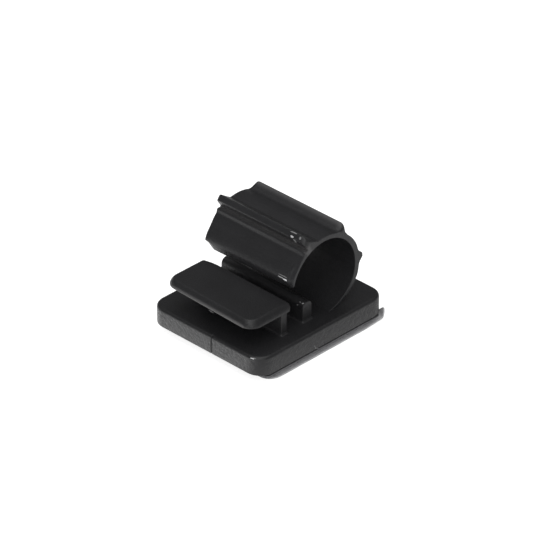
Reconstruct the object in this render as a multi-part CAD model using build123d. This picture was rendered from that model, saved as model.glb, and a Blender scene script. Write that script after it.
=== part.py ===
from build123d import *
import os
from math import cos, radians, sin

# Releasable cable holder: one moulding on a foam pad, millimetres, +Z up.
# X runs from the release tongue to the sprung arm, Y along the cable.
# The origin is under the middle of the base plate, on the surface that the holder is stuck to.

# Base plate
plate_length = 17.50
plate_width = 15.10
plate_thickness = 2.07
plate_corner_radius = 1.70
plate_top_rounding = 0.30
plate_bottom_rounding = 0.15

# Foam pad under the plate, set in from each of its sides
foam_thickness = 0.80
foam_inset_left = 1.50
foam_inset_right = 0.15
foam_inset_front = 0.50
foam_inset_back = 0.10
foam_corner_radius = 0.40

# Paper liner under the foam, standing out past each of its sides
liner_thickness = 0.15
liner_margin_left = 0.05
liner_margin_right = 0.28
liner_margin_front = 0.38
liner_margin_back = 0.09
liner_corner_radius = 0.50

# Leg, tongue and hook of the latch. Each inset is from the plate's two sides.
leg_setback = 4.70
leg_thickness = 0.80
leg_inset = 1.80
tongue_setback = 0.40
tongue_inset = 1.62
tongue_rise = 3.07
tongue_thickness = 0.66
tongue_corner_radius = 1.40
tongue_top_rounding = 0.20
tongue_under_rounding = 0.10
hook_reach = 0.42
hook_nose = 0.35
hook_depth = 0.89

# Lip that keeps the cable out of the latch
slot_width = 2.37
lip_thickness = 1.23
lip_height = 2.35
lip_inset = 1.85
lip_shoulder = 0.58

# Rounding where the leg and the lip stand on the plate
foot_fillet = 0.25

# Seat for the cable: its circle clears the leg, and dips a little below the plate's top
bore_radius = 4.25
bore_clearance = 0.72
bore_dip = 0.27

# Sprung arm that curls over the seat, thinnest at its tip and where it leaves the plate
arm_inset = 1.60
arm_wall = 0.60
tip_wall = 0.40
tip_angle = 171.5
bevel_angle = 163.5
tip_land = 0.08
tip_corner_radius = 0.35
root_ease = 0.20
root_lift = 0.44
root_outer_ease = 0.95
root_outer_lift = 0.92

# Grip ribs along the arm
side_rib_angle = 5.5
side_rib_height = 0.56
side_rib_crest = 0.36
side_rib_foot = 1.90
top_rib_angle = 59.0
top_rib_height = 0.90
top_rib_crest = 0.30
top_rib_foot = 1.70
rib_hollow = 0.07

# Finger fin, which leans back over a small ridge
fin_angle = 108.0
fin_lean = 28.0
fin_height = 1.22
fin_crest = 0.80
fin_foot = 1.45
fin_hollow = 0.04
ridge_angle = 123.5
ridge_height = 0.26
ridge_crest = 0.12
ridge_foot = 0.80

# Depth by which each upright is rooted in the plate's solid
root_depth = 0.50

foam_bottom = liner_thickness
plate_bottom = foam_bottom + foam_thickness
plate_top = plate_bottom + plate_thickness
leg_width = plate_width - 2 * leg_inset
tongue_width = plate_width - 2 * tongue_inset
lip_width = plate_width - 2 * lip_inset
arm_length = plate_width - 2 * arm_inset
leg_outer = -plate_length / 2 + leg_setback
leg_inner = leg_outer + leg_thickness
tongue_outer = -plate_length / 2 + tongue_setback
tongue_inner = leg_inner + hook_reach
tongue_top = plate_top + tongue_rise
tongue_bottom = tongue_top - tongue_thickness
lip_left = leg_inner + slot_width
lip_right = lip_left + lip_thickness
bore_x = leg_inner + bore_clearance + bore_radius
bore_z = plate_top - bore_dip + bore_radius

# The arm's outer circle sits a little off the bore's, so the wall thins towards the tip
outer_radius = bore_radius + (arm_wall + tip_wall) / 2
outer_shift = (arm_wall - tip_wall) / 2


def polar(radius, angle):
    """Point of the cross-section at that distance and angle from the bore's axis."""
    return (bore_x + radius * cos(radians(angle)), bore_z + radius * sin(radians(angle)))


def disc(radius, x, z):
    """Filled circle in the cross-section."""
    return Plane.XZ * Pos(x, z) * Circle(radius)


def outline(points):
    """Filled polygon in the cross-section."""
    return Plane.XZ * make_face(Polyline(*points, close=True))


def slab(x_from, x_to, z_from, z_to):
    """Filled rectangle in the cross-section."""
    return outline([(x_from, z_from), (x_to, z_from), (x_to, z_to), (x_from, z_to)])


def run_along_cable(section, width):
    """Solid of that cross-section, centred across the plate."""
    return extrude(section, width / 2, both=True)


def sheet(left, right, front, back, corner, bottom, thickness):
    """Flat rectangle with rounded corners, between those sides."""
    middle = Pos((left + right) / 2, (front + back) / 2, bottom)
    return extrude(middle * RectangleRounded(right - left, back - front, corner), thickness)


def base_plate():
    """Rounded plate that everything stands on."""
    x, y = plate_length / 2, plate_width / 2
    plate = sheet(-x, x, -y, y, plate_corner_radius, plate_bottom, plate_thickness)
    plate = fillet(plate.faces().sort_by(Axis.Z)[-1].edges(), plate_top_rounding)
    return fillet(plate.faces().sort_by(Axis.Z)[0].edges(), plate_bottom_rounding)


def tooth(angle, lean, height, crest, foot, hollow):
    """Rib on the arm: a flat crest over hollow flanks, leaning by that many degrees."""
    wall_middle = bore_radius + tip_wall / 2
    foot_x, foot_z = polar(wall_middle, angle)
    reach = height + outer_radius - wall_middle
    lean_angle = radians(angle + lean)
    crest_x = foot_x + reach * cos(lean_angle)
    crest_z = foot_z + reach * sin(lean_angle)
    across_x, across_z = cos(radians(angle + 90)), sin(radians(angle + 90))
    foot_near = (foot_x - foot / 2 * across_x, foot_z - foot / 2 * across_z)
    foot_far = (foot_x + foot / 2 * across_x, foot_z + foot / 2 * across_z)
    crest_near = (crest_x - crest / 2 * across_x, crest_z - crest / 2 * across_z)
    crest_far = (crest_x + crest / 2 * across_x, crest_z + crest / 2 * across_z)
    sides = [
        SagittaArc(foot_near, crest_near, -hollow),
        Line(crest_near, crest_far),
        SagittaArc(crest_far, foot_far, -hollow),
        Line(foot_far, foot_near),
    ]
    return Plane.XZ * make_face(sides)


def arm_section():
    """Sprung arm: the wall between two circles, with its ribs, fin and ridge."""
    wall = disc(outer_radius, bore_x + outer_shift, bore_z)
    wall &= disc(bore_radius + root_outer_ease, bore_x, bore_z + root_outer_lift)
    space = disc(bore_radius, bore_x, bore_z)
    space &= disc(bore_radius + root_ease, bore_x, bore_z + root_lift)
    ribs = [
        tooth(side_rib_angle, 0, side_rib_height, side_rib_crest, side_rib_foot, rib_hollow),
        tooth(top_rib_angle, 0, top_rib_height, top_rib_crest, top_rib_foot, rib_hollow),
        tooth(fin_angle, fin_lean, fin_height, fin_crest, fin_foot, fin_hollow),
        tooth(ridge_angle, 0, ridge_height, ridge_crest, ridge_foot, fin_hollow),
    ]
    section = wall + ribs - space
    return section - mouth() - below_plate()


def mouth():
    """Opening between the arm's bevelled tip and the latch."""
    far = 2 * outer_radius
    land = polar(bore_radius + tip_land, tip_angle)
    edge = polar(bore_radius + tip_wall, bevel_angle)
    # The bevel's line runs on past the arm's outside, by twice its own length
    beyond = (edge[0] + 2 * (edge[0] - land[0]), edge[1] + 2 * (edge[1] - land[1]))
    return outline([
        (bore_x, bore_z),
        land,
        beyond,
        (bore_x - far, beyond[1]),
        (bore_x - far, plate_bottom - far),
        (bore_x, plate_bottom - far),
    ])


def below_plate():
    """Everything deeper than the arm's root in the plate."""
    far = 2 * outer_radius
    return slab(bore_x - far, bore_x + far, plate_bottom - far, plate_top - root_depth)


def sprung_arm():
    """Arm with its tip's two corners rounded."""
    arm = run_along_cable(arm_section(), arm_length)
    tip_x, tip_z = polar(bore_radius + tip_land / 2, tip_angle)
    corners = []
    for end in (-arm_length / 2, arm_length / 2):
        corners.append(arm.edges().sort_by_distance((tip_x, end, tip_z))[0])
    return fillet(corners, tip_corner_radius)


def tongue():
    """Release tongue, rounded at its free corners, with the hook along its inner edge."""
    blank = run_along_cable(outline([
        (tongue_outer, tongue_top),
        (tongue_inner, tongue_top),
        (tongue_inner, tongue_top - hook_nose),
        (leg_inner, tongue_top - hook_depth),
        (leg_inner, tongue_bottom),
        (tongue_outer, tongue_bottom),
    ]), tongue_width)
    free_corners = blank.edges().filter_by(Axis.Z).group_by(Axis.X)[0]
    blank = fillet(free_corners, tongue_corner_radius)
    level = blank.faces().filter_by(Axis.Z).sort_by(Axis.Z)
    blank = fillet(level[-1].edges(), tongue_top_rounding)
    under = blank.faces().filter_by(Axis.Z).sort_by(Axis.Z)[0]
    return fillet(under.edges().sort_by(Axis.X)[:-1], tongue_under_rounding)


def leg():
    """Upright that carries the tongue."""
    section = slab(leg_outer, leg_inner, plate_top - root_depth, tongue_bottom)
    return run_along_cable(section, leg_width)


def lip():
    """Low wall between the seat and the latch, rounded on top."""
    section = slab(lip_left, lip_right, plate_top - root_depth, plate_top + lip_height)
    wall = run_along_cable(section, lip_width)
    top = wall.faces().sort_by(Axis.Z)[-1]
    return fillet(top.edges().filter_by(Axis.Y), lip_shoulder)


def plate_with_uprights():
    """Plate, leg and lip, with the fillets round the two feet."""
    body = base_plate() + leg() + lip()
    feet = []
    for edge in body.edges().filter_by_position(Axis.Z, plate_top, plate_top):
        if abs(edge.center().Y) <= leg_width / 2 and leg_outer <= edge.center().X <= lip_right:
            feet.append(edge)
    return fillet(feet, foot_fillet)


def clip_body():
    """The whole moulding, as one solid."""
    body = plate_with_uprights() + tongue() + sprung_arm()
    return body.clean()


foam_left = -plate_length / 2 + foam_inset_left
foam_right = plate_length / 2 - foam_inset_right
foam_front = -plate_width / 2 + foam_inset_front
foam_back = plate_width / 2 - foam_inset_back


def foam_pad():
    """Foam tape between the plate and the liner."""
    sides = (foam_left, foam_right, foam_front, foam_back)
    return sheet(*sides, foam_corner_radius, foam_bottom, foam_thickness)


def release_liner():
    """Paper that covers the foam's lower face until the holder is fitted."""
    left = foam_left - liner_margin_left
    right = foam_right + liner_margin_right
    front = foam_front - liner_margin_front
    back = foam_back + liner_margin_back
    return sheet(left, right, front, back, liner_corner_radius, 0, liner_thickness)


os.makedirs("parts", exist_ok=True)
export_step(clip_body(), "parts/clip_body.step")
export_step(foam_pad(), "parts/foam_pad.step")
export_step(release_liner(), "parts/release_liner.step")
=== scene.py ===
import math

import bmesh
import bpy
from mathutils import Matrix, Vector


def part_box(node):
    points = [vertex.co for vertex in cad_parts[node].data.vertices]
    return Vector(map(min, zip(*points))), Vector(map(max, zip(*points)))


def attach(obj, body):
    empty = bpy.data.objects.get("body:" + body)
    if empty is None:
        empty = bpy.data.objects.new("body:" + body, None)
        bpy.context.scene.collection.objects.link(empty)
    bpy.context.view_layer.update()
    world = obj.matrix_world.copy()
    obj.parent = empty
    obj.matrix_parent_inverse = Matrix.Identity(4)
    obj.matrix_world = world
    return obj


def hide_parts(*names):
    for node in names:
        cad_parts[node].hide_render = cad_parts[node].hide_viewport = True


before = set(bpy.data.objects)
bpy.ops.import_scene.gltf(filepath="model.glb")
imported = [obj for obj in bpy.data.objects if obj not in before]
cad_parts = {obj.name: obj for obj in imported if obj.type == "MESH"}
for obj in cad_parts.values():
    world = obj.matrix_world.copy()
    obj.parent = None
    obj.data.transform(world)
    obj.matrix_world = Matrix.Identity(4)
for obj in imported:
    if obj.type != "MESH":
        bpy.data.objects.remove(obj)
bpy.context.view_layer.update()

# Moulding
# One shot of black nylon: base plate, sprung arm, lip, leg and release tongue in a single piece.
# The arm snaps under the tongue's hook by bending at its thin root, and the plate stands on the foam tape.

# Sizes are in millimetres up to the meshes, which are in metres like the frame
mm = 0.001
# Points of a mesh that lie closer together than this are merged
same_point = 0.001
body_low, body_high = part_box("clip_body")
plate_left, plate_right = body_low.x / mm, body_high.x / mm
plate_front, plate_back = body_low.y / mm, body_high.y / mm
plate_thickness = 2.07
plate_bottom = body_low.z / mm
plate_top = plate_bottom + plate_thickness
plate_corner = 1.70
plate_top_rounding, plate_bottom_rounding = 0.33, 0.15
corner_steps, edge_steps = 8, 6


def portion(value, start, stop):
    """How far the value has come from start to stop, between 0 and 1."""
    return min(max((value - start) / (stop - start), 0), 1)


def quarter_arc(centre_x, centre_y, radius, start):
    """Points of a quarter turn, anticlockwise from that angle in degrees."""
    angles = [math.radians(start + 90 * i / corner_steps) for i in range(corner_steps + 1)]
    return [(centre_x + radius * math.cos(angle), centre_y + radius * math.sin(angle)) for angle in angles]


def rounded_ring(left, right, front, back, left_radius, right_radius, z, along_x=0, along_y=0):
    """Anticlockwise outline of a rectangle with rounded corners, its sides divided into that many parts."""
    corners = [
        quarter_arc(left + left_radius, front + left_radius, left_radius, 180),
        quarter_arc(right - right_radius, front + right_radius, right_radius, 270),
        quarter_arc(right - right_radius, back - right_radius, right_radius, 0),
        quarter_arc(left + left_radius, back - left_radius, left_radius, 90),
    ]
    ring = []
    for turn, following, count in zip(corners, corners[1:] + corners[:1], (along_x, along_y) * 2):
        ring += turn
        (x1, y1), (x2, y2) = turn[-1], following[0]
        for i in range(1, count):
            share = i / count
            ring.append((x1 + (x2 - x1) * share, y1 + (y2 - y1) * share))
    return [(x, y, z) for x, y in ring]


def stacked(rings):
    """Closed mesh through outlines that lie one above the other, lowest first, all with as many points."""
    mesh = bmesh.new()
    rows = [[mesh.verts.new(Vector(point) * mm) for point in ring] for ring in rings]
    size = len(rows[0])
    for lower, upper in zip(rows, rows[1:]):
        for i in range(size):
            following = (i + 1) % size
            mesh.faces.new((lower[i], lower[following], upper[following], upper[i]))
    mesh.faces.new(rows[0][::-1])
    mesh.faces.new(rows[-1])
    return mesh


def in_scene(name, data):
    """New object in the scene with that mesh, lamp or camera."""
    made = bpy.data.objects.new(name, data)
    bpy.context.scene.collection.objects.link(made)
    return made


def as_object(mesh, name):
    """Object in the scene that holds that mesh, with its doubled points merged and its faces pointing out."""
    bmesh.ops.remove_doubles(mesh, verts=mesh.verts, dist=same_point * mm)
    bmesh.ops.recalc_face_normals(mesh, faces=mesh.faces)
    data = bpy.data.meshes.new(name)
    mesh.to_mesh(data)
    mesh.free()
    return in_scene(name, data)


def edge_turn(steps=edge_steps):
    """Sine and cosine along a quarter turn, for a rounded edge."""
    return [(math.sin(math.pi / 2 * i / steps), math.cos(math.pi / 2 * i / steps)) for i in range(steps + 1)]


# Where the two halves of the mould met on the left side: places along it, and how deep the line is there
witness_line = ((-0.76, 0.0), (-0.91, 0.05), (-0.94, 0.14), (-1.05, 0.0))


def plate_ring(inset, z):
    """The plate's outline, drawn in by that much, with the witness line on its left side."""
    radius = plate_corner - inset
    ring = rounded_ring(plate_left + inset, plate_right - inset, plate_front + inset,
                        plate_back - inset, radius, radius, z)
    return ring + [(plate_left + inset + depth, y, z) for y, depth in witness_line]


plate_rings = [plate_ring(plate_bottom_rounding * (1 - sin), plate_bottom + plate_bottom_rounding * (1 - cos))
               for sin, cos in edge_turn()]
plate_rings += [plate_ring(plate_top_rounding * (1 - cos), plate_top - plate_top_rounding * (1 - sin))
                for sin, cos in edge_turn()]
plate = as_object(stacked(plate_rings), "plate")

# The leg rises from a filleted foot, and widens into the tongue with the hook along its inner edge
foot_fillet, sunk = 0.25, 0.30
leg_left, leg_right = plate_left + 4.70, plate_left + 5.50
leg_end, leg_edge = 5.75, 0.08
tongue_left, tongue_right, tongue_end = plate_left + 0.40, leg_right + 0.42, 5.93
tongue_bottom, tongue_top = plate_top + 2.41, plate_top + 3.22
hook_root, hook_nose = plate_top + 2.18, plate_top + 2.80
tongue_corner, hook_corner = 1.40, 0.10
latch_parts = 16
under_edge = 0.04
nose_height, nose_slope = 0.12, 0.8
# The tongue's free edges slope in above a narrow land, and its far end is twisted upwards
edge_land, edge_slope, edge_bulge = 0.15, 0.48, 0.45
bevel_steps = 8
twist_outside, twist_inside = 0.34, 0.10
# How much of the hook's far corner is worn off, and from which share of the tongue's width on
worn_length, worn_depth, worn_lift = 1.5, 0.70, 0.22
worn_from = 0.375


def foot_rings(left, right, end, edge, along_y=0):
    """Flared foot of an upright on the plate."""
    levels = [(foot_fillet, plate_top - sunk)]
    levels += [(foot_fillet * (1 - sin), plate_top + foot_fillet * (1 - cos)) for sin, cos in edge_turn()]
    return [rounded_ring(left - flare, right + flare, -end - flare, end + flare,
                         edge + flare, edge + flare, z, 0, along_y) for flare, z in levels]


def hook_side(z):
    """How far in the hook's face stands at that height."""
    return leg_right + (tongue_right - leg_right) * portion(z, hook_root, hook_nose)


def tongue_ring(inset, z, nose_inset=0.0):
    """The tongue's outline, drawn in by that much."""
    return rounded_ring(tongue_left + inset, hook_side(z) - nose_inset, -tongue_end + inset,
                        tongue_end - inset, tongue_corner - inset, hook_corner, z, 0, latch_parts)


latch_rings = foot_rings(leg_left, leg_right, leg_end, leg_edge, latch_parts)
latch_rings += [rounded_ring(leg_left, hook_side(z), -leg_end, leg_end, leg_edge, leg_edge, z, 0, latch_parts)
                for z in (hook_root, tongue_bottom)]
latch_rings += [tongue_ring(under_edge, tongue_bottom), tongue_ring(0, tongue_bottom + under_edge),
                tongue_ring(0, tongue_bottom + edge_land)]
edge_rise = tongue_top - tongue_bottom - edge_land
for i, (sin, cos) in enumerate(edge_turn(bevel_steps)):
    straight = i / bevel_steps
    drawn_in = edge_slope * (straight * (1 - edge_bulge) + (1 - cos) * edge_bulge)
    level = tongue_bottom + edge_land + edge_rise * (straight * (1 - edge_bulge) + sin * edge_bulge)
    nose_inset = max(level - tongue_top + nose_height, 0) * nose_slope
    latch_rings.append(tongue_ring(drawn_in, level, nose_inset))
latch_mesh = stacked(latch_rings)
for point in latch_mesh.verts:
    x, y, z = point.co / mm
    share = portion(z, hook_root, tongue_bottom)
    across = (x - tongue_left) / (tongue_right - tongue_left)
    raised = twist_outside + (twist_inside - twist_outside) * across
    point.co.z += share * raised * mm * (y + tongue_end) / (2 * tongue_end)
    # The hook's far corner is worn off at a slant, with a burr on it
    near_corner = max(1 - (tongue_end - y) / worn_length, 0)
    worn = share * near_corner * max((across - worn_from) / (1 - worn_from), 0)
    point.co.x -= worn * worn_depth * mm
    point.co.z += worn * worn_lift * mm
latch = as_object(latch_mesh, "latch")

# The lip keeps the cable out of the slot behind the leg. Its top slopes a little along the cable.
lip_left, lip_right, lip_end = leg_right + 2.37, leg_right + 3.60, 5.57
lip_top, lip_shoulder, lip_edge = plate_top + 2.35, 0.58, 0.07
lip_tilt, lip_drop = 0.20, 0.02
lip_rings = foot_rings(lip_left, lip_right, lip_end, lip_edge)
for sin, cos in edge_turn():
    shoulder, rounding = lip_shoulder * (1 - cos), lip_edge * (1 - cos)
    lip_rings.append(rounded_ring(lip_left + shoulder, lip_right - shoulder, -lip_end + rounding,
                                  lip_end - rounding, lip_edge, lip_edge, lip_top - lip_shoulder * (1 - sin)))
lip_mesh = stacked(lip_rings)
for point in lip_mesh.verts:
    share = portion(point.co.z / mm, plate_top + foot_fillet, lip_top)
    point.co.z += share * mm * (lip_tilt * point.co.y / mm / lip_end - lip_drop)
lip = as_object(lip_mesh, "lip")

# The sprung arm is a C-shaped wall, drawn here as its outline across the cable, with angles in degrees
seat_radius = 4.25
seat_clearance = 0.72
seat_dip = 0.27
seat_x = leg_right + seat_clearance + seat_radius
seat_z = plate_top - seat_dip + seat_radius
arm_outer = 4.75
arm_shift = 0.10
arm_length = 11.90
arm_edge = 0.06
root_inner, root_inner_lift = 4.45, 0.44
root_outer, root_outer_lift = 5.20, 0.92
tip_wall = 0.40
tip_land = 0.08
tip_angle = 171.5
bevel_angle = 163.0
tip_corner = 0.42
wall_middle = seat_radius + tip_wall / 2
seat_floor = -90
arc_step = 2.5
hollow_start = 5.0
# The wall is fuller below the top rib and flatter near the tip
fuller_span, fuller_by = (6, 58), 0.06
flatter_span, flatter_by = (126, 162), 0.14
# The root's outer side ends in a small toe, just under the plate's top
toe_length = 0.35
toe_depth = 0.004
toe_gap = 0.02
# Radii to which the toe, the bevel's start, the land and the tip are rounded
toe_bend = 0.25
bevel_bend = 2.5
land_bend = 0.04
tip_bend = 0.03
# Corners that turn by less, in radians, stay as they are, and an arc takes at most this share of a side
nearly_straight = 0.02
most_of_side = 0.48
# How far an arc bends towards its corner, and how often the search for a flank's foot is narrowed by half
arc_pull = 0.7
halvings = 40


def polar(radius, angle):
    """Point across the cable at that distance and angle from the seat's axis."""
    return (seat_x + radius * math.cos(math.radians(angle)), seat_z + radius * math.sin(math.radians(angle)))


def reach(shift_x, shift_z, radius, angle):
    """Distance from the seat's axis to a circle whose centre stands a little off it."""
    towards = shift_x * math.cos(math.radians(angle)) + shift_z * math.sin(math.radians(angle))
    return towards + math.sqrt(radius ** 2 - shift_x ** 2 - shift_z ** 2 + towards ** 2)


def swell(angle, span, height):
    """Smooth hump of that height between two angles."""
    return height * math.sin(math.pi * portion(angle, *span)) ** 2


def outside(angle):
    """Distance of the arm's outer face from the seat's axis."""
    wall = reach(arm_shift, 0, arm_outer, angle)
    wall += swell(angle, fuller_span, fuller_by) - swell(angle, flatter_span, flatter_by)
    return min(wall, reach(0, root_outer_lift, root_outer, angle))


def inside(angle):
    """Distance of the arm's inner face from the seat's axis."""
    return min(seat_radius, reach(0, root_inner_lift, root_inner, angle))


def flank_foot(inner, outer):
    """Where a rib's flank leaves the arm's outer face, and its angle."""
    low, high = 0.0, 1.0
    for _ in range(halvings):
        share = (low + high) / 2
        x = inner[0] + (outer[0] - inner[0]) * share
        z = inner[1] + (outer[1] - inner[1]) * share
        angle = math.degrees(math.atan2(z - seat_z, x - seat_x))
        if math.hypot(x - seat_x, z - seat_z) < outside(angle):
            low = share
        else:
            high = share
    return (x, z), angle


def rib_points(angle, lean, height, crest, foot, hollow, bend):
    """A rib's four corners with their rounding, and the angles at which it leaves the arm."""
    middle = polar(wall_middle, angle)
    rise = height + arm_outer - wall_middle
    top = (middle[0] + rise * math.cos(math.radians(angle + lean)),
           middle[1] + rise * math.sin(math.radians(angle + lean)))
    side = (math.cos(math.radians(angle + 90)), math.sin(math.radians(angle + 90)))
    feet = [(middle[0] + way * foot / 2 * side[0], middle[1] + way * foot / 2 * side[1])
            for way in (-1, 1)]
    tops = [(top[0] + way * crest / 2 * side[0], top[1] + way * crest / 2 * side[1]) for way in (-1, 1)]
    near, near_angle = flank_foot(feet[0], tops[0])
    far, far_angle = flank_foot(feet[1], tops[1])
    corners = [(*near, hollow), (*tops[0], bend), (*tops[1], bend), (*far, hollow)]
    return near_angle, corners, far_angle


def arc_points(radius_at, start, stop):
    """Points of the arm's face strictly between two angles."""
    count = max(int(abs(stop - start) / arc_step), 1)
    angles = [start + (stop - start) * i / count for i in range(1, count)]
    return [(*polar(radius_at(angle), angle), 0) for angle in angles]


def softened(corners, steps=4):
    """The outline with each corner that has a radius turned into an arc."""
    points = []
    for i, (x, z, radius) in enumerate(corners):
        before, after = Vector(corners[i - 1][:2]), Vector(corners[(i + 1) % len(corners)][:2])
        here = Vector((x, z))
        to_before, to_after = before - here, after - here
        turn = math.pi - to_before.angle(to_after)
        if not radius or turn < nearly_straight:
            points.append((x, z))
            continue
        cut = min(radius * math.tan(turn / 2),
                  most_of_side * to_before.length, most_of_side * to_after.length)
        start, end = here + to_before.normalized() * cut, here + to_after.normalized() * cut
        for step in range(steps + 1):
            share = step / steps
            pull = 2 * share * (1 - share) * (arc_pull + (1 - arc_pull) * math.cos(turn / 2))
            base = start * (1 - share) + end * share
            points.append(tuple(base + (here - (start + end) / 2) * pull))
    return points


side_rib = rib_points(angle=5.4, lean=0, height=0.58, crest=0.40, foot=2.10, hollow=2.0, bend=0.16)
top_rib = rib_points(angle=59.0, lean=0, height=0.91, crest=0.34, foot=1.80, hollow=2.0, bend=0.22)
# The finger fin leans back, its crest is cut at a slant, and a shallow groove parts it from a small ridge
fin_start, fin, _ = rib_points(
    angle=108.4, lean=28.0, height=1.28, crest=0.95, foot=1.50, hollow=0.40, bend=0.14)
fin_crest = [(-0.74, 12.67, 0.16), (-1.12, 12.12, 0.14)]
groove_depth, groove_angle, groove_bend = 0.06, 118.2, 0.4
groove = (*polar(arm_outer - groove_depth, groove_angle), groove_bend)
_, ridge, ridge_end = rib_points(
    angle=123.5, lean=0, height=0.20, crest=0.12, foot=1.10, hollow=0.45, bend=0.38)
ribs = [side_rib, top_rib, (fin_start, [fin[0], *fin_crest, groove, *ridge[1:]], ridge_end)]

root_x = seat_x + math.sqrt(root_outer ** 2 - (plate_top - seat_z - root_outer_lift) ** 2)
outline = [
    (seat_x, plate_top - sunk, 0),
    (root_x + toe_length, plate_top - sunk, 0),
    (root_x + toe_length, plate_top - toe_depth, 0),
    (root_x + toe_gap, plate_top - toe_depth, toe_bend),
]
angle = math.degrees(math.atan2(plate_top - seat_z, root_x - seat_x))
for near_angle, corners, far_angle in ribs:
    outline += arc_points(outside, angle, near_angle - hollow_start) + corners
    angle = far_angle + hollow_start
outline += arc_points(outside, angle, bevel_angle - hollow_start)
outline += [
    (*polar(outside(bevel_angle), bevel_angle), bevel_bend),
    (*polar(seat_radius + tip_land, tip_angle), land_bend),
    (*polar(seat_radius, tip_angle), tip_bend),
]
outline += arc_points(inside, tip_angle, seat_floor)
outline.append((*polar(inside(seat_floor), seat_floor), 0))
section = softened(outline)


class Value:
    """A number's socket in a node tree, so that sums on it read as sums."""

    def __init__(self, tree, socket):
        self.tree, self.socket = tree, socket

    def worked(self, operation, *others, swap=False):
        """The result of one Math node on this value and the others."""
        node = self.tree.nodes.new("ShaderNodeMath")
        node.operation = operation
        values = [self, *others]
        if swap:
            values.reverse()
        for socket, value in zip(node.inputs, values):
            if isinstance(value, Value):
                self.tree.links.new(value.socket, socket)
            else:
                socket.default_value = value
        return Value(self.tree, node.outputs[0])

    def __add__(self, other):
        return self.worked("ADD", other)

    def __radd__(self, other):
        return self.worked("ADD", other)

    def __sub__(self, other):
        return self.worked("SUBTRACT", other)

    def __rsub__(self, other):
        return self.worked("SUBTRACT", other, swap=True)

    def __mul__(self, other):
        return self.worked("MULTIPLY", other)

    def __rmul__(self, other):
        return self.worked("MULTIPLY", other)

    def __truediv__(self, other):
        return self.worked("DIVIDE", other)

    def __rtruediv__(self, other):
        return self.worked("DIVIDE", other, swap=True)

    def __abs__(self):
        return self.worked("ABSOLUTE")

    def at_least(self, other):
        """The greater of the two."""
        return self.worked("MAXIMUM", other)

    def root(self):
        """Its square root."""
        return self.worked("SQRT")


class Nodes:
    """One node tree, with short ways to add nodes to it."""

    def __init__(self, tree):
        self.tree = tree

    def add(self, kind, settings=None, **inputs):
        """New node of that type. An input goes by its name, with underscores, or as i and its number."""
        node = self.tree.nodes.new(kind)
        for name, value in (settings or {}).items():
            setattr(node, name, value)
        for name, value in inputs.items():
            key = int(name[1:]) if name[0] == "i" and name[1:].isdigit() else name.replace("_", " ")
            self.feed(node.inputs[key], value)
        return node

    def feed(self, socket, value):
        """Links or sets one socket."""
        if isinstance(value, Value):
            self.tree.links.new(value.socket, socket)
        elif isinstance(value, bpy.types.NodeSocket):
            self.tree.links.new(value, socket)
        else:
            socket.default_value = value

    def value(self, socket):
        """The socket as a value that sums can use."""
        return Value(self.tree, socket)

    def faded(self, value, start, stop):
        """Rises smoothly from 0 to 1 as the value goes from start to stop."""
        ramp = self.add("ShaderNodeMapRange", {"interpolation_type": "SMOOTHSTEP"}, Value=value,
                        From_Min=start, From_Max=stop, To_Min=0.0, To_Max=1.0)
        return self.value(ramp.outputs[0])

    def noise(self, place, scale, detail, roughness=0.5):
        """Uneven grey, at that many spots to the metre."""
        spots = self.add("ShaderNodeTexNoise", Vector=place, Scale=scale, Detail=detail, Roughness=roughness)
        return self.value(spots.outputs["Fac"])

    def mixed(self, share, low, high):
        """Colour that goes from low to high with the share."""
        return self.add("ShaderNodeMix", {"data_type": "RGBA"}, i0=share, i6=low, i7=high).outputs[2]

    def bump(self, strength, distance, height):
        """Normal of a surface with that height."""
        return self.add("ShaderNodeBump", Strength=strength, Distance=distance, Height=height).outputs[0]


def material_nodes(name):
    """New material with a Principled shader, as its nodes and that shader."""
    material = bpy.data.materials.new(name)
    material.use_nodes = True
    return material, Nodes(material.node_tree), material.node_tree.nodes["Principled BSDF"]


# Moulded nylon: a fine grain all over, clouds of gloss, lines of flow along the arm and mottled plate sides
deep_black = (0.015, 0.015, 0.016, 1)
clear_black = (0.024, 0.024, 0.026, 1)
# The pale grey is painted highlight on the crests, the tongue's edge and the low plate sides, and painted
# light in the fin's groove
highlight_grey = (0.120, 0.117, 0.118, 1)
grain_scale, cloud_scale, flow_scale, mottle_scale = 6500.0, 420.0, 2600.0, 3400.0
flow_stretch = (1.0, 0.06, 1.0)
cloud_shade, flow_shade = 0.6, 0.5
nylon_roughness, cloud_gloss, grain_gloss, mottle_gloss = 0.28, 0.08, 0.10, 0.5
relief, grain_relief, mottle_relief, flow_relief = 0.00005, 0.6, 1.6, 0.4
nylon_ior = 1.53
# Painted highlights lighten it on the rib crests, along the tongue's outer edge and low on the plate's sides,
# and painted light lifts the shade in the groove behind the fin. Each fade starts and ends at a height or
# place in millimetres, the groove's sides at an angle.
arm_fade = (-0.55, -0.25)
crest_fade, far_side_fade = (5.15, 5.75), (0.5, 2.0)
groove_fade, groove_sides = (5.35, 4.95), ((1.96, 2.02), (2.17, 2.11))
tongue_edge_fade = (tongue_left + 0.12, tongue_left + 0.02)
tongue_height_fade = (plate_top + 1.5, plate_top + 2.0)
side_fade = (plate_top - 0.1, plate_top - 0.5)
low_side_fade = (plate_bottom + 1.7, plate_bottom)
crest_highlight, groove_highlight, edge_highlight, low_side_highlight = 0.65, 0.45, 0.5, 0.18
least_highlight, highlight_grain = 0.55, 0.9

nylon, nodes, shader = material_nodes("black_nylon")
place = nodes.add("ShaderNodeTexCoord").outputs["Object"]
spot = nodes.add("ShaderNodeSeparateXYZ", i0=place)
sideways, level = nodes.value(spot.outputs["X"]) / mm, nodes.value(spot.outputs["Z"]) / mm
up, out = level - seat_z, sideways - seat_x
away = (up * up + out * out).root()
fine = nodes.noise(place, grain_scale, detail=3.0, roughness=0.6)
coarse = nodes.noise(place, cloud_scale, detail=4.0, roughness=0.55)
drawn_out = nodes.add("ShaderNodeMapping", Vector=place, Scale=flow_stretch)
flow = nodes.noise(drawn_out.outputs[0], flow_scale, detail=2.0)
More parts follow.
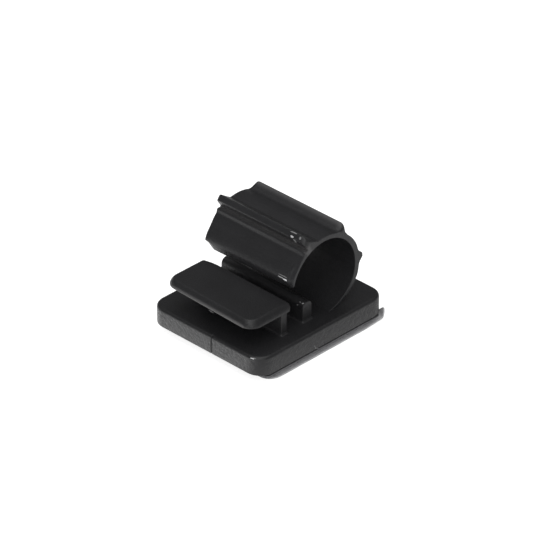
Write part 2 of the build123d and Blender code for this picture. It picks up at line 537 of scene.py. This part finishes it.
# The mottle goes both ways from an even surface
mottle = nodes.noise(place, mottle_scale, detail=2.0, roughness=0.6) - 0.5
on_arm = nodes.faded(up, *arm_fade)
crests = nodes.faded(away, *crest_fade) * on_arm * nodes.faded(out, *far_side_fade)
in_groove = nodes.faded(away, *groove_fade)
for start, stop in groove_sides:
    in_groove = in_groove * nodes.faded(up.worked("ARCTAN2", out), start, stop)
tongue_edge = nodes.faded(sideways, *tongue_edge_fade) * nodes.faded(level, *tongue_height_fade)
sides, low_sides = nodes.faded(level, *side_fade), nodes.faded(level, *low_side_fade)
# Painted highlights on the crests, the tongue's edge and the low plate sides, and painted light in the
# groove's shade
painted_highlights = crests * crest_highlight + in_groove * groove_highlight + tongue_edge * edge_highlight + low_sides * low_side_highlight
body_black = nodes.mixed(coarse * cloud_shade + flow * on_arm * flow_shade, deep_black, clear_black)
highlight_share = painted_highlights * (least_highlight + highlight_grain * fine)
nodes.feed(shader.inputs["Base Color"], nodes.mixed(highlight_share, body_black, highlight_grey))
nodes.feed(shader.inputs["Roughness"],
           nylon_roughness + coarse * cloud_gloss + fine * grain_gloss + mottle * sides * mottle_gloss)
surface = fine * grain_relief + mottle * sides * mottle_relief + flow * on_arm * flow_relief
nodes.feed(shader.inputs["Normal"], nodes.bump(strength=1.0, distance=relief, height=surface))
shader.inputs["IOR"].default_value = nylon_ior


def geometry_tree(name, inputs):
    """New geometry tree that takes a geometry and those named inputs, each with its socket type."""
    tree = bpy.data.node_groups.new(name, "GeometryNodeTree")
    tree.interface.new_socket("Geometry", in_out="INPUT", socket_type="NodeSocketGeometry")
    for label, kind in inputs.items():
        tree.interface.new_socket(label, in_out="INPUT", socket_type=kind)
    tree.interface.new_socket("Geometry", in_out="OUTPUT", socket_type="NodeSocketGeometry")
    nodes = Nodes(tree)
    return tree, nodes, nodes.add("NodeGroupInput"), nodes.add("NodeGroupOutput")


def end_tree(nodes, given, result, geometry):
    """Ends a tree with that geometry made real, in the material that the tree was given."""
    whole = nodes.add("GeometryNodeRealizeInstances", Geometry=geometry)
    dressed = nodes.add("GeometryNodeSetMaterial", Geometry=whole.outputs[0],
                        Material=given.outputs["Material"])
    nodes.feed(result.inputs[0], dressed.outputs[0])


def run_tree(thing, tree, values):
    """The mesh that the tree makes of that object with those inputs. The object itself is removed."""
    modifier = thing.modifiers.new(tree.name, "NODES")
    modifier.node_group = tree
    for item in tree.interface.items_tree:
        if item.in_out == "INPUT" and item.name in values:
            modifier[item.identifier] = values[item.name]
    evaluated = thing.evaluated_get(bpy.context.evaluated_depsgraph_get())
    mesh = bpy.data.meshes.new_from_object(evaluated)
    thing.modifiers.remove(modifier)
    bpy.data.objects.remove(thing)
    return mesh


arm_stations = 65
seam_gap = 0.0001
# What counts as a rib, in shares of the wall's radius, and where the upper ribs, the bead and the tip begin,
# in radians round the seat. The skew is in radians too.
rib_fade = (1.08, 1.22)
upper_fade, bead_fade = (0.4, 0.7), (2.36, 2.60)
tip_reach = 0.45
arm_skew = 0.026
crest_rounding, far_crest_share = 0.80, 0.35
tip_chamfer = 1.1
bead_depth, bead_height, bead_width_share = 0.65, 0.10, 0.22


def arm_tree():
    """Runs an outline along the cable, rounds its end edges, and draws back the tip's two corners."""
    tree, nodes, given, result = geometry_tree("arm_along_cable", {
        "Length": "NodeSocketFloat", "Stations": "NodeSocketInt", "Outline Points": "NodeSocketInt",
        "End Edge": "NodeSocketFloat", "Tip Corner": "NodeSocketFloat", "Seat": "NodeSocketVector",
        "Tip Angle": "NodeSocketFloat", "Wall Radius": "NodeSocketFloat", "Crest Rounding": "NodeSocketFloat",
        "Tip Chamfer": "NodeSocketFloat", "Bead Depth": "NodeSocketFloat", "Bead Height": "NodeSocketFloat",
        "Material": "NodeSocketMaterial"})

    def asked(label):
        """The number given to the tree under that name."""
        return nodes.value(given.outputs[label])

    def moved(tube, **how):
        """The tube with its points set or shifted."""
        return nodes.add("GeometryNodeSetPosition", Geometry=tube, **how).outputs[0]

    def scaled(vector, factor):
        """The vector times that value."""
        return nodes.add("ShaderNodeVectorMath", {"operation": "SCALE"}, i0=vector, Scale=factor).outputs[0]

    # Each station is a copy of the outline, and the stations stand closer together towards the two ends
    size, stations, half = asked("Outline Points"), asked("Stations"), asked("Length") * 0.5
    grid = nodes.add("GeometryNodeMeshGrid", Size_X=1.0, Size_Y=1.0, Vertices_X=stations, Vertices_Y=size + 1)
    index = nodes.value(nodes.add("GeometryNodeInputIndex").outputs[0])
    station = (index / (size + 1)).worked("FLOOR")
    point = (index - station * (size + 1)).worked("MODULO", size)
    along = half * ((station / (stations - 1) * 2 - 1) * (math.pi / 2)).worked("SINE")
    sampled = nodes.add("GeometryNodeSampleIndex", {"data_type": "FLOAT_VECTOR"},
                        Geometry=given.outputs["Geometry"], Index=point)
    wanted = [socket for socket in sampled.inputs if socket.enabled and socket.name == "Value"]
    nodes.feed(wanted[0], nodes.add("GeometryNodeInputPosition").outputs[0])
    found = [socket for socket in sampled.outputs if socket.enabled]
    flat = nodes.add("ShaderNodeSeparateXYZ", i0=found[0])
    placed = nodes.add("ShaderNodeCombineXYZ", X=flat.outputs["X"], Y=along, Z=flat.outputs["Z"])
    tube = moved(grid.outputs["Mesh"], Position=placed.outputs[0])
    tube = nodes.add("GeometryNodeMergeByDistance", Geometry=tube, Distance=seam_gap * mm).outputs[0]

    spot = nodes.add("ShaderNodeSeparateXYZ", i0=nodes.add("GeometryNodeInputPosition").outputs[0])
    seat = nodes.add("ShaderNodeSeparateXYZ", i0=given.outputs["Seat"])
    here, middle = ({axis: nodes.value(where.outputs[axis]) for axis in "XYZ"} for where in (spot, seat))
    depth = half - abs(here["Y"])
    up, out = here["Z"] - middle["Z"], here["X"] - middle["X"]
    away, turn, wall = (up * up + out * out).root(), up.worked("ARCTAN2", out), asked("Wall Radius")
    near_end = here["Y"].worked("LESS_THAN", 0.0)

    def drawn_back(radius):
        """How far a rounding of that radius stands back at this depth."""
        short = (radius - depth).at_least(0)
        return radius - (radius * radius - short * short).at_least(0).root()

    normal = nodes.add("GeometryNodeInputNormal").outputs[0]
    tube = moved(tube, Offset=scaled(normal, drawn_back(asked("End Edge")) * -1))

    # The crests of the upper ribs run out in a rounding at the ends, a larger one at the near end
    proud = nodes.faded(away / wall, *rib_fade)
    rounding = asked("Crest Rounding") * (far_crest_share + (1 - far_crest_share) * near_end)
    pull = drawn_back(rounding) * proud * nodes.faded(turn, *upper_fade) / away * -1
    tube = moved(tube, Offset=nodes.add("ShaderNodeCombineXYZ", X=out * pull, Z=up * pull).outputs[0])

    # A faint bead runs over the tip's side of the arm, a little in from the near end
    beside = (depth - asked("Bead Depth")) / (asked("Bead Depth") * bead_width_share)
    bead = (beside * beside * -1).worked("EXPONENT") * asked("Bead Height")
    bead = bead * near_end * (away / wall).worked("GREATER_THAN", 1.0)
    tube = moved(tube, Offset=scaled(normal, bead * nodes.faded(turn, *bead_fade)))

    # At the tip the near corner is rounded, and the far one is cut off as far up as the bevel reaches
    to_tip = (asked("Tip Angle") - turn).at_least(0)
    near_tip = nodes.faded(to_tip, tip_reach, 0.0)
    rounded = drawn_back(asked("Tip Corner")) * near_end * near_tip
    bevel = math.radians(tip_angle - bevel_angle)
    cut_off = (1 - depth / asked("Tip Chamfer")).at_least(0) * (1 - near_end)
    # The arm is a little skew, so its tip lies lower at the far end
    skew = here["Y"] / half * near_tip * -arm_skew
    swing = (rounded / wall + cut_off * (bevel - to_tip).at_least(0) + skew) * up.worked("GREATER_THAN", 0.0)
    turned = nodes.add("ShaderNodeVectorRotate", {"rotation_type": "Y_AXIS"}, Center=given.outputs["Seat"],
                       Angle=swing, Vector=nodes.add("GeometryNodeInputPosition").outputs[0])
    end_tree(nodes, given, result, moved(tube, Position=turned.outputs[0]))
    return tree


loop = bpy.data.meshes.new("arm_outline")
loop.from_pydata([(x * mm, 0, z * mm) for x, z in section],
                 [(i, (i + 1) % len(section)) for i in range(len(section))], [])
arm_mesh = run_tree(in_scene("arm_outline", loop), arm_tree(), {
    "Length": arm_length * mm, "Stations": arm_stations, "Outline Points": len(section),
    "End Edge": arm_edge * mm, "Tip Corner": tip_corner * mm, "Seat": (seat_x * mm, 0, seat_z * mm),
    "Tip Angle": math.radians(tip_angle), "Wall Radius": wall_middle * mm,
    "Crest Rounding": crest_rounding * mm, "Tip Chamfer": tip_chamfer * mm,
    "Bead Depth": bead_depth * mm, "Bead Height": bead_height * mm, "Material": nylon})
closed = bmesh.new()
closed.from_mesh(arm_mesh)
bmesh.ops.holes_fill(closed, edges=closed.edges, sides=0)
arm = as_object(closed, "arm")

# The four forms are united into the one moulding, which then stands for the CAD solid
sharpest_bend = 42
for form in (latch, lip, arm):
    union = plate.modifiers.new(form.name, "BOOLEAN")
    union.operation, union.solver, union.object = "UNION", "EXACT", form
united = bpy.data.meshes.new_from_object(plate.evaluated_get(bpy.context.evaluated_depsgraph_get()))
for form in (plate, latch, lip, arm):
    bpy.data.objects.remove(form)
whole = bmesh.new()
whole.from_mesh(united)
for face in whole.faces:
    face.material_index = 0
moulding = as_object(whole, "clip_moulding")
moulding.data.materials.append(nylon)
moulding.data.shade_smooth()
moulding.data.set_sharp_from_angle(angle=math.radians(sharpest_bend))
weighted = moulding.modifiers.new("flat_faces_stay_flat", "WEIGHTED_NORMAL")
weighted.keep_sharp = True
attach(moulding, "root")
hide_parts("clip_body")

# Torn edges and painted glints
# Slivers of nylon where the gate and the flash were broken off, and short scratches from handling.
# They are real shape, and their pale colour is a painted highlight for the glints that they catch.

# Place and half sizes in millimetres, turn in degrees, and how strongly a highlight is painted on the sliver:
# on the fin, at the arm's tip, on the lip, at the plate's front corner, under the tongue, and on the plate's
# front and left sides
slivers = [
    ((-0.76, -4.24, 12.56), (0.07, 0.50, 0.07), (0, 0, 3), 0.24),
    ((-1.00, -4.28, 12.22), (0.08, 0.28, 0.11), (12, 30, 12), 0.62),
    ((-1.04, -4.56, 12.03), (0.06, 0.34, 0.09), (32, 20, 8), 0.16),
    ((-0.87, -5.16, 12.38), (0.09, 0.17, 0.19), (20, 30, -12), 0.22),
    ((-2.69, -4.95, 8.42), (0.05, 0.34, 0.08), (0, 0, 0), 1.0),
    ((-2.68, -4.35, 8.46), (0.035, 0.45, 0.05), (0, 0, 0), 0.5),
    ((-2.62, -4.55, 8.70), (0.025, 0.60, 0.035), (0, 0, 0), 0.30),
    ((-0.86, -5.52, 5.20), (0.14, 0.08, 0.05), (0, 15, 0), 0.32),
    ((-0.95, -5.25, 5.28), (0.09, 0.10, 0.05), (0, 25, 0), 0.16),
    ((-1.28, -5.22, 5.10), (0.06, 0.09, 0.06), (0, -20, 0), 0.12),
    ((-8.66, -6.40, 2.90), (0.07, 0.26, 0.05), (-8, 0, 0), 0.85),
    ((-8.58, -6.60, 2.96), (0.05, 0.20, 0.04), (10, 0, 25), 0.25),
    ((-8.33, -0.55, 5.46), (0.05, 0.35, 0.05), (4, 0, 0), 0.10),
    ((-1.20, -7.55, 1.25), (0.03, 0.03, 0.30), (0, -25, 0), 0.30),
    ((-0.90, -7.55, 1.02), (0.03, 0.03, 0.26), (0, -55, 0), 0.22),
    ((-0.01, -7.55, 2.45), (0.02, 0.02, 0.35), (0, 4, 0), 0.14),
    ((-8.75, -0.80, 2.00), (0.02, 0.03, 0.60), (0, 0, 0), 0.10),
]
sliver_steps = 3
sliver_unevenness, sliver_waves, sliver_seed = 0.7, 1.4, 4
# The white is a painted highlight, standing in for the glints of the slivers and scratches
sliver_black, glint_white = (0.02, 0.02, 0.02, 1), (0.80, 0.80, 0.81, 1)
sliver_scale = 5000.0
least_glint, glint_swing = 0.6, 0.8
sliver_roughness, sliver_gloss = 0.22, 0.2


def sliver_tree():
    """Puts an uneven chip on each point, with the size and turn that the point carries."""
    tree, nodes, given, result = geometry_tree("torn_slivers", {
        "Unevenness": "NodeSocketFloat", "Seed": "NodeSocketInt", "Material": "NodeSocketMaterial"})

    def carried(label):
        """The vector that each point carries under that name."""
        found = nodes.add("GeometryNodeInputNamedAttribute", {"data_type": "FLOAT_VECTOR"}, Name=label)
        return [socket for socket in found.outputs if socket.enabled][0]

    chip = nodes.add("GeometryNodeMeshIcoSphere", Radius=1.0, Subdivisions=sliver_steps)
    wobble = nodes.add("ShaderNodeTexNoise", {"noise_dimensions": "4D"}, Scale=sliver_waves,
                       W=given.outputs["Seed"])
    middle = nodes.add("ShaderNodeVectorMath", {"operation": "SUBTRACT"}, i0=wobble.outputs["Color"],
                       i1=(0.5, 0.5, 0.5))
    shift = nodes.add("ShaderNodeVectorMath", {"operation": "SCALE"}, i0=middle.outputs[0],
                      Scale=given.outputs["Unevenness"])
    chip = nodes.add("GeometryNodeSetPosition", Geometry=chip.outputs["Mesh"], Offset=shift.outputs[0])
    points = nodes.add("GeometryNodeMeshToPoints", Mesh=given.outputs["Geometry"])
    chips = nodes.add("GeometryNodeInstanceOnPoints", Points=points.outputs[0], Instance=chip.outputs[0],
                      Rotation=carried("turn"), Scale=carried("size"))
    end_tree(nodes, given, result, chips.outputs[0])
    return tree


glint_material, nodes, shader = material_nodes("torn_nylon_painted_glints")
uneven_patches = nodes.noise(nodes.add("ShaderNodeTexCoord").outputs["Object"], sliver_scale, detail=2.0)
glint_share = nodes.value(nodes.add("ShaderNodeAttribute", {"attribute_name": "glint_share"}).outputs["Fac"])
# Painted highlight: how white each sliver is painted, in uneven patches
painted_glint = glint_share * (least_glint + uneven_patches * glint_swing)
nodes.feed(shader.inputs["Base Color"], nodes.mixed(painted_glint, sliver_black, glint_white))
nodes.feed(shader.inputs["Roughness"], sliver_roughness + uneven_patches * sliver_gloss)
markers = bpy.data.meshes.new("sliver_places")
markers.from_pydata([[value * mm for value in place] for place, *_ in slivers], [], [])
markers.attributes.new("size", "FLOAT_VECTOR", "POINT").data.foreach_set(
    "vector", [value * mm for _, size, *_ in slivers for value in size])
markers.attributes.new("turn", "FLOAT_VECTOR", "POINT").data.foreach_set(
    "vector", [math.radians(value) for *_, turn, _ in slivers for value in turn])
markers.attributes.new("glint_share", "FLOAT", "POINT").data.foreach_set(
    "value", [glint_strength for *_, glint_strength in slivers])
sliver_mesh = run_tree(in_scene("sliver_places", markers), sliver_tree(), {
    "Unevenness": sliver_unevenness, "Seed": sliver_seed, "Material": glint_material})
sliver_mesh.shade_smooth()
sliver_marks = in_scene("torn_edges_painted_glints", sliver_mesh)
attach(sliver_marks, "root")

# Foam tape
# Closed-cell foam, black, cut out with a die and carrying adhesive on both faces.
# It holds the plate to the wall, and its sides are drawn in a little where it is squeezed.

foam_low, foam_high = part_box("foam_pad")
foam_corner, foam_parts = 0.4, 48
# Shares of the height, and how far the squeezed sides draw in there
foam_sides = ((0, 0.00), (0.15, 0.02), (0.35, 0.05), (0.5, 0.055), (0.65, 0.05), (0.85, 0.02), (1, 0.00))
# Heights of the two waves in the cut, and how quickly they run along X, along Y and up the side
long_wave, long_rate = 0.012, (2.3, 1.7)
short_wave, short_rate = 0.008, (6.1, -5.3, 9)
foam_bend = 50
foam_dark = (0.022, 0.022, 0.023, 1)
foam_light = (0.050, 0.050, 0.052, 1)
glue_grey = (0.22, 0.22, 0.23, 1)
cell_scale, cell_wander, cell_relief = 6500.0, 0.04, 0.00006
glue_fade = (foam_low.z / mm + 0.16, foam_low.z / mm + 0.26)
foam_roughness, glue_gloss = 0.85, 0.35


def foam_wave(x, y, share):
    """How far the die's slightly wavy cut runs inside the tape's own size."""
    slow = math.sin(long_rate[0] * x + long_rate[1] * y)
    quick = math.sin(short_rate[0] * x + short_rate[1] * y + short_rate[2] * share)
    return long_wave * (1 + slow) + short_wave * (1 + quick)


def wavy(x, y, z, share):
    """The point, drawn in by the wave on both of its sides."""
    wave = foam_wave(x, y, share)
    return x - math.copysign(wave, x), y - math.copysign(wave, y), z


foam_rings = []
for share, waist in foam_sides:
    ring = rounded_ring(foam_low.x / mm + waist, foam_high.x / mm - waist, foam_low.y / mm + waist,
                        foam_high.y / mm - waist, foam_corner, foam_corner,
                        (foam_low.z + (foam_high.z - foam_low.z) * share) / mm, foam_parts, foam_parts)
    foam_rings.append([wavy(*point, share) for point in ring])
foam = as_object(stacked(foam_rings), "foam_tape")
foam.data.shade_smooth()
foam.data.set_sharp_from_angle(angle=math.radians(foam_bend))
foam_skin, nodes, shader = material_nodes("black_foam")
place = nodes.add("ShaderNodeTexCoord").outputs["Object"]
cells = nodes.value(nodes.add("ShaderNodeTexVoronoi", Vector=place, Scale=cell_scale).outputs["Distance"])
level = nodes.value(nodes.add("ShaderNodeSeparateXYZ", i0=place).outputs["Z"]) / mm
# The adhesive on the lower face is a pale translucent film
glued = 1 - nodes.faded(level + cells * cell_wander, *glue_fade)
cellular = nodes.mixed(cells, foam_dark, foam_light)
nodes.feed(shader.inputs["Base Color"], nodes.mixed(glued, cellular, glue_grey))
nodes.feed(shader.inputs["Roughness"], foam_roughness - glued * glue_gloss)
nodes.feed(shader.inputs["Normal"], nodes.bump(strength=0.8, distance=cell_relief, height=cells))
foam.data.materials.append(foam_skin)
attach(foam, "root")
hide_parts("foam_pad")

# Release liner
# Thin siliconised paper, cut a little larger than the tape that it covers until the holder is fitted.
# Its loose front corner has curled up.

liner_low, liner_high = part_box("release_liner")
liner_left, liner_right = liner_low.x / mm, liner_high.x / mm
liner_overhang = 0.08
liner_front, liner_back = liner_low.y / mm - liner_overhang, liner_high.y / mm
liner_thickness, cut_edge = 0.15, 0.02
liner_parts = 180
liner_bend = 50
liner_left_corner, liner_right_corner = 1.5, 0.50
least_left, least_right = 0.05, 0.03
# Along curl_way the paper rises gently first, and then curls up to an angle in radians and runs on straight
curl_way = (0.90, -0.436)
curl_start, curl_stretch = 0.72, 2.05
curl_radius, curl_end = 0.36, 1.25
rise_ahead, rise_slope = 1.6, 0.09
# What stands out past the tape lifts a little, in a slow wave along X and Y
margin_most, margin_lift = 0.5, 0.10
margin_wave, margin_rate = 0.02, (1.9, 0.7)
paper_dark, paper_light = (0.38, 0.38, 0.39, 1), (0.60, 0.60, 0.61, 1)
fibre_scale, fibre_relief = 1800.0, 0.00002
paper_roughness, fibre_gloss = 0.35, 0.25


def liner_ring(inset, z):
    """The liner's outline, drawn in by that much."""
    left_corner = max(liner_left_corner - inset, least_left)
    right_corner = max(liner_right_corner - inset, least_right)
    return rounded_ring(liner_left + inset, liner_right - inset, liner_front + inset, liner_back - inset,
                        left_corner, right_corner, z, liner_parts, liner_parts)


def curled(x, y, z):
    """Where that point of the flat liner lies once its front corner has curled up round a small radius."""
    past = curl_start + (x - liner_right) * curl_way[0] + (y - liner_front) * curl_way[1]
    covered = max(past, 0)
    turn = min(covered * curl_stretch / curl_radius, curl_end)
    straight = covered * curl_stretch - turn * curl_radius
    forward = (curl_radius - z) * math.sin(turn) + straight * math.cos(turn) - covered
    height = curl_radius - (curl_radius - z) * math.cos(turn) + straight * math.sin(turn)
    height += rise_slope * max(past + rise_ahead, 0)
    margin = min(max(foam_low.y / mm - y, 0) + max(x - foam_high.x / mm, 0), margin_most)
    height += margin * (margin_lift + margin_wave * math.sin(margin_rate[0] * x + margin_rate[1] * y))
    return x + forward * curl_way[0], y + forward * curl_way[1], height


# Both faces carry outlines further and further in, so that the paper can bend between them
insets = [3.0, 1.6, 1.2] + [1.0 - 0.1 * i for i in range(9)] + [0.12, 0.06]
liner_levels = [(inset, 0.0) for inset in insets]
liner_levels += [(cut_edge, 0.0), (0.0, cut_edge)]
liner_levels += [(0.0, liner_thickness - cut_edge), (cut_edge, liner_thickness)]
liner_levels += [(inset, liner_thickness) for inset in reversed(insets)]
liner_rings = [[curled(*point) for point in liner_ring(inset, z)] for inset, z in liner_levels]
liner = as_object(stacked(liner_rings), "release_liner_paper")
liner.data.shade_smooth()
liner.data.set_sharp_from_angle(angle=math.radians(liner_bend))
paper, nodes, shader = material_nodes("liner_paper")
place = nodes.add("ShaderNodeTexCoord").outputs["Object"]
fibres = nodes.noise(place, fibre_scale, detail=5.0, roughness=0.65)
nodes.feed(shader.inputs["Base Color"], nodes.mixed(fibres, paper_dark, paper_light))
nodes.feed(shader.inputs["Roughness"], paper_roughness + fibres * fibre_gloss)
nodes.feed(shader.inputs["Normal"], nodes.bump(strength=0.3, distance=fibre_relief, height=fibres))
liner.data.materials.append(paper)
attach(liner, "root")
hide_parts("release_liner")

# Studio
# A white floor under an even white sky, with soft lamps above, on the left and near the camera.
# Reflections see a darker room, which is brighter close to the object's left and right sides.

# Half the floor's side, in metres
room = 0.6
floor_grey, floor_roughness, floor_seen = 0.55, 0.9, 0.81
floor_mirrored, left_mirrored, right_mirrored = 0.07, 1.20, 0.18
mirror_reach = 10.0
left_fade, right_fade = (-7.0, -3.0), (-1.5, 2.0)
sky_light, sky_seen, sky_mirrored = 0.62, 1.0, 0.08
floor_mesh = bpy.data.meshes.new("floor")
floor_corners = [(-room, -room, 0), (room, -room, 0), (room, room, 0), (-room, room, 0)]
floor_mesh.from_pydata(floor_corners, [], [(0, 1, 2, 3)])
floor = in_scene("floor", floor_mesh)
floor_paint, nodes, shader = material_nodes("white_floor")
shader.inputs["Base Color"].default_value = (floor_grey, floor_grey, floor_grey, 1)
shader.inputs["Roughness"].default_value = floor_roughness
shader.inputs["Emission Color"].default_value = (1, 1, 1, 1)
path = nodes.add("ShaderNodeLightPath")
seen, mirrored = nodes.value(path.outputs["Is Camera Ray"]), nodes.value(path.outputs["Is Glossy Ray"])
spot = nodes.add("ShaderNodeSeparateXYZ", i0=nodes.add("ShaderNodeTexCoord").outputs["Object"])
x, y = nodes.value(spot.outputs["X"]) / mm, nodes.value(spot.outputs["Y"]) / mm
beside_x, beside_y = (abs(x) - plate_right).at_least(0), (abs(y) - plate_back).at_least(0)
close = 1 / (1 + (beside_x * beside_x + beside_y * beside_y).root() / mirror_reach)
left, right = 1 - nodes.faded(x - y, *left_fade), nodes.faded(x - y, *right_fade)
glow = floor_mirrored + close * (right * right_mirrored + left * left_mirrored)
nodes.feed(shader.inputs["Emission Strength"], seen * floor_seen + mirrored * glow)
floor_paint.cycles.emission_sampling = "NONE"
floor_mesh.materials.append(floor_paint)

world = bpy.data.worlds.new("studio")
bpy.context.scene.world = world
world.use_nodes = True
nodes = Nodes(world.node_tree)
path = nodes.add("ShaderNodeLightPath")
backdrop = world.node_tree.nodes["Background"]
backdrop.inputs["Color"].default_value = (1, 1, 1, 1)
seen, mirrored = nodes.value(path.outputs["Is Camera Ray"]), nodes.value(path.outputs["Is Glossy Ray"])
nodes.feed(backdrop.inputs["Strength"],
           sky_light + seen * (sky_seen - sky_light) - mirrored * (sky_light - sky_mirrored))
world.cycles.sampling_method = "NONE"


def softbox(name, place, target, size, power):
    """Square area lamp at that place, in metres, facing the target."""
    lamp = bpy.data.lights.new(name, "AREA")
    lamp.shape, lamp.size, lamp.energy = "SQUARE", size, power
    made = in_scene(name, lamp)
    made.location = place
    made.rotation_euler = (Vector(target) - Vector(place)).to_track_quat("-Z", "Y").to_euler()


softbox("top_light", place=(0.0, 0.0, 0.5), target=(0, 0, 0), size=0.5, power=0.8)
softbox("left_light", place=(-0.30, -0.10, 0.40), target=(0, 0, 0.005), size=0.3, power=0.15)
softbox("front_light", place=(-0.30, -0.28, 0.26), target=(0, 0, 0.005), size=0.35, power=0.45)

# Camera
# It looks down on the tongue's side and the front end, as the photograph does.

azimuth, elevation, distance = math.radians(-45.49), math.radians(31.873), 0.450
target = Vector((0.977, 0.026, 5.187)) * mm
focal_pixels, picture_pixels, sensor_width = 4634, 550, 36.0
back = Vector((math.sin(azimuth) * math.cos(elevation), -math.cos(azimuth) * math.cos(elevation),
               math.sin(elevation)))
camera_data = bpy.data.cameras.new("camera")
camera_data.sensor_width = sensor_width
camera_data.lens = focal_pixels / picture_pixels * sensor_width
camera_data.clip_start, camera_data.clip_end = 0.01, 10.0
camera = in_scene("camera", camera_data)
camera.location = target + back * distance
camera.rotation_euler = (-back).to_track_quat("-Z", "Y").to_euler()
bpy.context.scene.camera = camera
bpy.context.scene.view_settings.view_transform = "Standard"
